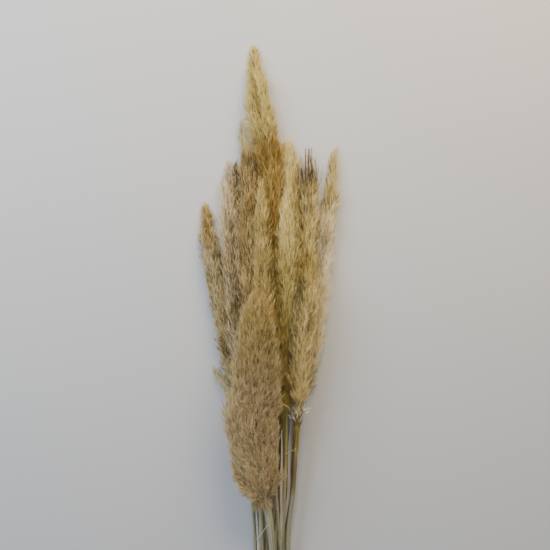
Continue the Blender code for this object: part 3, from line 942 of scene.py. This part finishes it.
def grow_locks(grass, habit, rng, branches, top):
    """Locks on the branches and between them, one row each: root, heading, outward, length, share, tone."""
    count, locks = len(branches.path), habit.locks
    place = ((np.arange(locks) + rng.random((count, locks))) / locks) ** 0.85
    knot = place * (BRANCH_STEPS - 1)
    low = np.clip(knot.astype(int), 0, BRANCH_STEPS - 2)
    part = (knot - low)[..., None]
    pick = np.arange(count)[:, None]
    root = branches.path[pick, low] * (1 - part) + branches.path[pick, low + 1] * part
    share = branches.share[pick, low] * (1 - part[..., 0]) + branches.share[pick, low + 1] * part[..., 0]
    outward, heading = branches.outward[pick, low], branches.heading[pick, low]
    tone = lock_tones(grass, habit, rng, share, branches.around[pick, low]) + branches.tone[:, None]
    fields = root, heading, outward, share[..., None], tone[..., None]
    rows = [np.concatenate(fields, -1).reshape(count * locks, -1)]
    # Between the branches, spread evenly over the plume's outside
    table = np.linspace(0.015, min(habit.down_to, top), 200)
    bulk = np.cumsum(spaced(habit.girth, table) * np.interp(table, grass.marks, grass.side)
                     * (1 - 0.6 * table ** 6) + 1.5 * MM)
    share = np.interp((np.arange(habit.down) + 0.5) / habit.down, bulk / bulk[-1], table)
    around = np.arange(habit.down) * GOLDEN_ANGLE + rng.normal(0, 0.6, habit.down)
    root, middle, along = on_plume(grass, habit, share, rng.uniform(0.25, 1.0, habit.down) ** 0.5, around)
    tone = lock_tones(grass, habit, rng, share, around)
    rows.append(np.concatenate([root, along, outward_from(middle, root), share[:, None], tone[:, None]], -1))
    rows = np.concatenate(rows)
    number = len(rows)
    root, heading, outward, share, tone = rows[:, :3], rows[:, 3:6], rows[:, 6:9], rows[:, 9], rows[:, 10]
    root = root + rng.normal(0, habit.scatter * MM, (number, 3)) * (1 - 0.5 * share[:, None])
    heading = turned(heading, np.radians(rng.uniform(*habit.splay, number)) * (1 - 0.6 * share ** 4),
                     rng.normal(0, 1.2, number), outward)
    long = rng.uniform(*habit.lock, number) * MM * tip_growth(habit, share)
    tone = tone + rng.normal(0, 0.6, number) * habit.contrast
    return root, heading, outward, long, np.clip(share, *ON_CHART), tone


def tip_growth(habit, share):
    """How long locks and hairs are near the tip, against those lower down."""
    near = np.clip((share - 0.76) / 0.12, 0, 1)
    return 1.05 + (habit.tip - 1.05) * near ** 2 * (3 - 2 * near)


# %% [markdown]
# Then each lock grows its hairs and husks, and single strays stand out of the outline.

# %% Hairs, husks and strays
HUSK_FAN = 8  # degrees that husks stand off their lock


def grow_hairs(habit, rng, locks):
    """Straight and bent hairs and broad husks, all along each lock."""
    parts = []
    for kind, per_lock in zip(("straight", "bent", "husk"), habit.hairs):
        origin, along, out, size, where, tone = (np.repeat(field, per_lock, 0) for field in locks)
        number = len(size)
        up_lock = rng.random(number) ** 0.8
        origin = origin + along * (up_lock * size)[:, None]
        facing = rng.normal(0, 1, (number, 3))
        lean = np.radians(np.abs(rng.normal(0, HUSK_FAN if kind == "husk" else habit.fan, number)))
        along = turned(along, lean, rng.uniform(-np.pi, np.pi, number), out)
        fine = rng.uniform(*habit.width, number) * MM
        long = rng.uniform(*habit.hair, number) * MM * (1.05 - 0.3 * up_lock) * tip_growth(habit, where)
        tone = tone + rng.normal(0, 0.12, number)
        if kind == "straight":
            tone = np.clip(tone, DARKEST, 0.74)
            parts.append(straight(origin, along, long, fine * 1.2, facing, where, tone, tone + 0.24))
        elif kind == "bent":
            tone = np.clip(tone + 0.06, DARKEST, 0.74)
            sag = rng.normal(0, habit.curl, (number, 3))
            parts.append(curled(origin, along, sag, long * 1.2, fine, facing, where, tone, tone + 0.24))
        else:
            tone = np.clip(tone - 0.1 + rng.normal(0, habit.contrast, number), DARKEST, 0.8)
            wide = rng.uniform(*habit.husk, number) * MM
            parts.append(straight(origin, along, long * 1.1, wide, facing, where, tone, tone + 0.18))
    return parts


def grow_strays(habit, rng, locks):
    """Fine single hairs that stand out of the outline and soften it, most of them on the side with a halo."""
    root, along, out, _, share, tone = locks
    angle, low, high, amount = habit.halo
    facing_side = out[:, 0] * np.cos(np.radians(angle)) + out[:, 2] * np.sin(np.radians(angle))
    weight = 0.15 + amount * np.clip(facing_side, 0, 1) * (share > low) * (share < high)
    which = rng.choice(len(root), habit.strays, p=weight / weight.sum())
    number = habit.strays
    lean = np.radians(rng.uniform(4, 34, number))
    along = turned(along[which], lean, rng.normal(0, 0.7, number), out[which])
    tone = np.clip(tone[which] + 0.15, DARKEST, 0.84)
    root = root[which] + out[which] * rng.uniform(0, 3, number)[:, None] * MM
    return straight(root, along, rng.uniform(10, 21, number) * MM, rng.uniform(0.22, 0.34, number) * MM,
                    rng.normal(0, 1, (number, 3)), share[which], tone, tone + 0.15)


# %% [markdown]
# Some plumes have more: wisps in chosen places, and branches that have lost their hairs. A felted core fills
# each plume's inside, so that nothing shows through between the hairs.

# %% Wisps, bare branches and felt
def grow_wisps(grass, habit, rng):
    """Long fine hairs in chosen places: a veil over a tip, or a wisp that has come loose."""
    parts = []
    for wisp in habit.wisps:
        count = wisp.count
        share = rng.uniform(wisp.low, wisp.high, count)
        turn = np.radians(rng.normal(wisp.angle, wisp.spread, count))
        root, middle, along = on_plume(grass, habit, share, rng.uniform(0.3, 1.0, count), turn)
        lean = np.radians(rng.uniform(*wisp.lean, count))
        heading = turned(along, lean, rng.normal(0, 0.35, count), outward_from(middle, root))
        tone = np.clip(wisp.tone + rng.normal(0, 0.1, count), DARKEST, 0.9)
        sag, long = rng.normal(0, 0.07, (count, 3)), rng.uniform(*wisp.long, count) * MM
        fine, facing = rng.uniform(0.26, 0.42, count) * MM, rng.normal(0, 1, (count, 3))
        share = np.clip(share, *ON_CHART)
        parts.append(curled(root, heading, sag, long, fine, facing, share, tone, tone + 0.08))
    return parts


SPRUNG = 2 * MM, 11 * MM  # how far a bare branch's end springs out from the plume, at least and at most
HAIRS_LEFT = 18  # on each bare branch


def grow_bare(grass, habit, rng):
    """Branch ends that have lost their hairs: dark, nearly straight strands with a few hairs left on them."""
    count, start, stop, low_tone = habit.bare
    if not count:
        return []
    t = BRANCH_T
    end = rng.uniform(stop - 0.13, stop, count)
    share = start + (end - start)[:, None] * t
    turn = np.pi * (np.arange(count) + rng.random(count)) / count
    around = turn[:, None] + rng.normal(0, 0.25, count)[:, None] * t
    lift = rng.uniform(0.3, 1.1, count)[:, None] * (0.7 + 0.3 * t)
    path, middle, _ = on_plume(grass, habit, share, lift, around)
    spring = rng.uniform(*SPRUNG, count)[:, None, None] * (t ** 1.5)[None, :, None]
    path = path + outward_from(middle, path) * spring
    heading, outward = unit(np.gradient(path, axis=1)), outward_from(middle, path)
    share = np.clip(share, *ON_CHART)
    tone = np.clip(low_tone + rng.normal(0, 0.05, count), 0.01, 0.5)
    bare = strips(path, heading, outward, 1.15 - 0.5 * t ** 2, share, tone)
    number = count * HAIRS_LEFT
    knot = np.repeat(np.arange(count), HAIRS_LEFT), rng.integers(2, BRANCH_STEPS, number)
    root = path[knot] + rng.normal(0, 0.5, (number, 3)) * MM
    lean = np.radians(rng.uniform(3, 22, number))
    along = turned(heading[knot], lean, rng.uniform(-3, 3, number), outward[knot])
    tone = np.where(rng.random(number) < 0.45, 0.85, low_tone + 0.1)
    long, fine = rng.uniform(5, 11, number) * MM, rng.uniform(0.3, 0.55, number) * MM
    hairs = straight(root, along, long, fine, rng.normal(0, 1, (number, 3)), share[knot], tone, tone + 0.08)
    return [bare, hairs]


def grow_felt(grass, habit, rng, rows=90, columns=20):
    """The felted core, which fills the plume's inside. Its tone is lowered as painted shade, for the shade
    deep inside a plume.
    """
    size, end, inner_shade = habit.core
    turn = np.arange(columns) / columns * 2 * np.pi
    share, around = np.meshgrid(np.linspace(0, end, rows), turn, indexing="ij")
    bumps = 1 + 0.5 * (1 - size) * rng.normal(0, 1, share.shape)
    taper = np.clip((end - share) / 0.25, 0, 1) ** 0.5
    felt, _, _ = on_plume(grass, habit, share, size * bumps * taper, around)
    faces, _ = grid(rows, columns, closed=True)
    tone = np.clip(habit.tone - inner_shade + rng.normal(0, 0.08, share.shape), DARKEST, 0.9)
    return felt.reshape(1, -1, 3), faces, np.stack([share, tone], -1).reshape(1, -1, 2)


# %% [markdown]
# A plume is all of these at once. Fluff that would stand too far out of the bunch is pressed back.

# %% A whole plume
def make_plume(grass, habit, material):
    rng = np.random.default_rng(habit.seed)
    tuft = (np.mean(habit.lock) * 0.6 + np.mean(habit.hair) * 0.5) * MM / (grass.end - grass.start)
    top = 1.0 - 0.45 * tuft
    branches = grow_branches(grass, habit, rng, top)
    locks = grow_locks(grass, habit, rng, branches, top)
    points, faces, corners = gather([
        stalks(habit, branches), *grow_hairs(habit, rng, locks), grow_strays(habit, rng, locks),
        grow_felt(grass, habit, rng), *grow_wisps(grass, habit, rng), *grow_bare(grass, habit, rng)])
    for axis in (0, 2):
        low, high = CAD_BOX[0][axis], CAD_BOX[1][axis]
        proud = (high - low) * PROUD[0] + PROUD[1] - 0.5 * MM
        points[:, axis] = pressed(points[:, axis], FLOOR_GAP if axis == 2 else low - proud, high + proud)
    piece = make_piece("fluff_" + grass.name, points, faces, np.clip(corners, 0, 1), [material], smooth=False)
    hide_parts("plume_" + grass.name)
    print(f"{piece.name}: {len(faces)} triangles, {len(locks[0])} locks")
    return len(faces)


# %% [markdown]
# ## The twelve plumes
# No two plumes are alike. Some are still tight and golden, some have opened and gone pale, and some have lost
# their hairs at the tip and show dark bare branches. Each gets a habit, which says how it grows, and a
# material with its own colours.

# %% Plume colours
SHADE = "#40321A"  # a dry husk
GOLD, SILK = "#FFF3C4", "#FFFBEC"  # the palest hairs of a golden plume and of a silky one


def tones(colour, shine):
    """Five tones of one plume colour, from its darkest husks to its palest hair ends."""
    return [between(colour, SHADE, 0.72), between(colour, SHADE, 0.36), colour,
            between(colour, shine, 0.36), between(colour, shine, 0.72)]


# For each plume: its body's and its tip's colour, where along it the one turns into the other, and its shine.
COLOURS = {
    "tall": ("#CBAA54", "#EAD888", 0.56, 0.68, GOLD),
    "far_left": ("#D8C488", "#D6B86C", 0.74, 0.84, SILK),
    "left_pale": ("#E6D09C", "#C8B88E", 0.88, 0.95, SILK),
    "back_golden": ("#DEC674", "#F4E29C", 0.6, 0.85, GOLD),
    "dark_tip": ("#FBE8A0", "#8E6E34", 0.80, 0.90, GOLD),
    "far_right": ("#FFF0C2", "#ECD68A", 0.55, 0.8, SILK),
    "side_tuft": ("#EADDB4", "#DECFA0", 0.5, 0.9, SILK),
    "brown": ("#CAAD6C", "#C9BE92", 0.87, 0.92, GOLD),
    "broad_cream": ("#D2BC6A", "#F0DE92", 0.5, 0.8, GOLD),
    "centre_pale": ("#D0B66A", "#DCC67A", 0.5, 0.8, GOLD),
    "front_golden": ("#F3DD98", "#CAB05E", 0.5, 0.9, GOLD),
    "front_large": ("#DCC594", "#B89E5C", 0.45, 0.9, GOLD),
}
fluffs = {
    name: fluff_material("dried plume hair, " + name.replace("_", " "),
                         tones(body, shine), tones(tip, shine), low, high)
    for name, (body, tip, low, high, shine) in COLOURS.items()}

# %% Plume habits
TIP_VEIL = Wisp(60, 0.93, 1.0, 90, 60, (0, 9), (8, 20), 0.6)  # the few fine hairs that most plumes end in
USUAL = Habit(
    slot="golden_plume", girth=(0.7, 1.0, 1.1, 1.12, 1.2, 1.1), sweep=(0, 0), flat=0.9, branches=70, long=90,
    short=30, stand=(0.4, 1.15), flare=0.06, locks=20, down=3200, down_to=1.0, lock=(8, 18), splay=(6, 30),
    hairs=(6, 1, 3), hair=(8, 15), husk=(0.7, 1.2), fan=6, curl=0.14, width=(0.35, 0.55), scatter=1.0,
    uneven=0.14, tip=0.85, tone=0.46, contrast=0.2, streak=0.22, pale_side=(180, 0.05), patches=(),
        strays=500,
    halo=(90, 0.6, 1.0, 0.3), wisps=(TIP_VEIL,),
    bare=Bare(0, 0.7, 1.0, 0.1), core=Core(0.5, 0.96, 0.25), seed=1)

habits = {
    "tall": USUAL._replace(
        seed=11, branches=90, down=4200, contrast=0.13, tone=0.48, strays=800,
        girth=(0.7, 1.0, 1.1, 1.2, 1.55, 1.1), sweep=(0, 0, 0, -1.5, -4.5, -2), uneven=0.22,
        patches=((0.54, 105, 0.08, -0.24), (0.48, 60, 0.06, 0.2), (0.14, 90, 0.15, -0.3)),
        wisps=(Wisp(90, 0.93, 1.0, 90, 80, (0, 7), (10, 22), 0.5),
               Wisp(60, 0.55, 0.8, 0, 25, (4, 14), (20, 38), 0.25),
               Wisp(40, 0.74, 0.80, 180, 10, (6, 12), (14, 26), 0.1))),
    "far_left": USUAL._replace(
        slot="russet_plume", seed=12, tone=0.44, contrast=0.26, halo=(170, 0.5, 1, 1), strays=700,
        girth=(0.7, 1.0, 1.1, 1.12, 1.3, 1.5), sweep=(0, 2, 4, 3, -3, -5),
        # The first spot, a broad dim one about halfway up, is painted shade from the neighbouring plumes.
        patches=((0.48, 90, 0.2, -0.12), (0.84, 90, 0.02, -0.32), (0.12, 110, 0.12, 0.3)),
        wisps=(Wisp(140, 0.9, 1.0, 90, 90, (0, 14), (12, 30), 0.5),
               Wisp(120, 0.3, 0.9, 180, 25, (8, 24), (14, 28), 0.7),
               Wisp(60, 0.5, 0.98, 180, 40, (10, 28), (9, 20), 0.12))),
    "left_pale": USUAL._replace(
        slot="cream_plume", seed=13, tone=0.46, contrast=0.25, pale_side=(180, 0.18),
        girth=(0.7, 1.0, 1.1, 1.12, 1.35, 2.7), sweep=(0, 0, 0, 0, -3, -3),
        # The last spot, lower down, is painted shade from the neighbouring plumes.
        patches=((0.975, 75, 0.01, -0.45), (0.93, 40, 0.012, -0.4), (0.4, 90, 0.15, -0.36)),
        halo=(180, 0.6, 0.9, 2), strays=1100,
        wisps=(Wisp(240, 0.70, 0.84, 180, 22, (12, 30), (28, 62), 0.8),
               Wisp(200, 0.88, 1.0, 160, 40, (0, 16), (10, 24), 0.8))),
    "back_golden": USUAL._replace(
        seed=14, tone=0.45, down=1900, halo=(60, 0.8, 1, 2),
        strays=700, girth=(0.7, 1.0, 1.1, 1.12, 1.7, 3.8),
        sweep=(0, 0, 0, 0, 2, 3), wisps=(Wisp(380, 0.85, 1.0, 40, 60, (0, 18), (12, 30), 0.72),),
        patches=((0.94, 110, 0.03, -0.2),)),
    "dark_tip": USUAL._replace(
        slot="brown_plume", seed=15, contrast=0.2, flare=0.15, core=Core(0.5, 0.80, 0.25), tip=0.45,
        tone=0.48,
        girth=(0.7, 1.0, 1.2, 1.3, 1.7, 4.4), down_to=0.87, scatter=0.6, short=62, branches=90, strays=300,
        # The broad spot on its left side is painted shade.
        patches=((0.88, 90, 0.05, -0.34), (0.55, 150, 0.3, -0.45)), bare=Bare(16, 0.72, 1.03, 0.05),
        sweep=(0, 0, 0, 0, 1, 2),
        wisps=(Wisp(200, 0.84, 0.97, 90, 70, (0, 8), (10, 26), 0.9),
               Wisp(160, 0.80, 0.92, 90, 80, (0, 8), (10, 24), 0.02))),
    "far_right": USUAL._replace(
        seed=16, tone=0.53, pale_side=(0, 0.16), halo=(0, 0.4, 1, 2), strays=1300,
        girth=(0.65, 0.95, 0.95, 0.95, 1.0, 1.1), sweep=(0, 0, -4, -8, -2, 0),
        patches=((0.07, 25, 0.09, -0.45),),
        wisps=(Wisp(500, 0.72, 1.0, 20, 40, (2, 18), (14, 30), 0.75),
               Wisp(900, 0.25, 0.72, 20, 50, (4, 18), (16, 34), 1.0))),
    "side_tuft": USUAL._replace(
        slot="brown_plume", seed=17, branches=44, long=60, short=25, locks=14, down=500, tone=0.42,
        girth=(0.5, 0.7, 0.75, 0.7, 0.7, 0.8), lock=(5, 11), splay=(4, 20)),
    "brown": USUAL._replace(
        slot="brown_plume", seed=18, tone=0.44, contrast=0.3, down_to=0.86, core=Core(0.5, 0.84, 0.25),
        girth=(0.7, 1.0, 1.15, 1.3, 1.5, 2.2), halo=(150, 0.8, 1, 3), strays=900, tip=0.6,
        patches=((0.83, 115, 0.032, -0.58), (0.795, 50, 0.032, -0.58), (0.12, 120, 0.15, 0.2)),
        bare=Bare(6, 0.74, 0.99, 0.12),
        wisps=(Wisp(900, 0.78, 0.97, 120, 70, (0, 12), (14, 34), 0.85),)),
    "broad_cream": USUAL._replace(
        slot="cream_plume", seed=19, tone=0.53, contrast=0.1, splay=(4, 18), fan=6, uneven=0.08,
        girth=(1.1, 1.0, 1.05, 1.1, 1.2, 1.4),
        wisps=(TIP_VEIL, Wisp(500, 0.0, 0.05, 90, 50, (150, 178), (14, 56), 0.4),
               Wisp(600, 0.0, 0.05, 165, 30, (150, 176), (20, 64), 0.05)),
        # Both dim spots, on its right side, are painted shade.
        patches=((0.33, 20, 0.12, -0.33), (0.65, 12, 0.25, -0.42))),
    # Its dim spot, on the right side of centre pale, is painted shade.
    "centre_pale": USUAL._replace(slot="cream_plume", seed=20, tone=0.5, contrast=0.14,
                                  patches=((0.62, 5, 0.22, -0.4),)),
    "front_golden": USUAL._replace(
        seed=21, tone=0.46, girth=(0.5, 0.7, 0.86, 0.95, 1.1, 1.0),
        sweep=(0, 0, 2, 6, 6, 5), pale_side=(0, 0.12),
        # The dim spot on its left side is painted shade.
        patches=((0.08, 90, 0.14, 0.5), (0.62, 162, 0.22, -0.38)),
        wisps=(TIP_VEIL, Wisp(120, 0.0, 0.04, 90, 90, (156, 176), (6, 18), 0.98))),
    "front_large": USUAL._replace(
        slot="beige_plume", seed=22, branches=120, long=110, short=50, locks=28, down=9000, hairs=(7, 2, 1),
        splay=(6, 30), fan=10, curl=0.16, hair=(8, 14), husk=(0.6, 0.9), lock=(8, 17),
        strays=1500, streak=0.12,
        halo=(180, 0.1, 0.7, 1.5), contrast=0.1, girth=(1.2, 1.08, 1.16, 1.12, 1.2, 1.2),
        sweep=(-7, 0, 3, 3, 0, 0),
        wisps=(Wisp(420, 0.5, 0.97, 90, 95, (12, 38), (14, 30), 0.5), TIP_VEIL,
               Wisp(500, 0.0, 0.03, 90, 50, (130, 176), (8, 22), 0.3),
               Wisp(12, 0.605, 0.612, 80, 4, (75, 95), (9, 15), 0.95),
               Wisp(10, 0.25, 0.26, 150, 5, (60, 90), (8, 14), 0.95)),
        flat=0.85, uneven=0.05, tip=1.0, patches=((0.06, 90, 0.12, 0.2),), core=Core(0.72, 0.96, 0.12)),
}
counts = [make_plume(grasses[name], habits[name], fluffs[name]) for name in NAMES]
print("triangles in the plumes:", sum(counts))
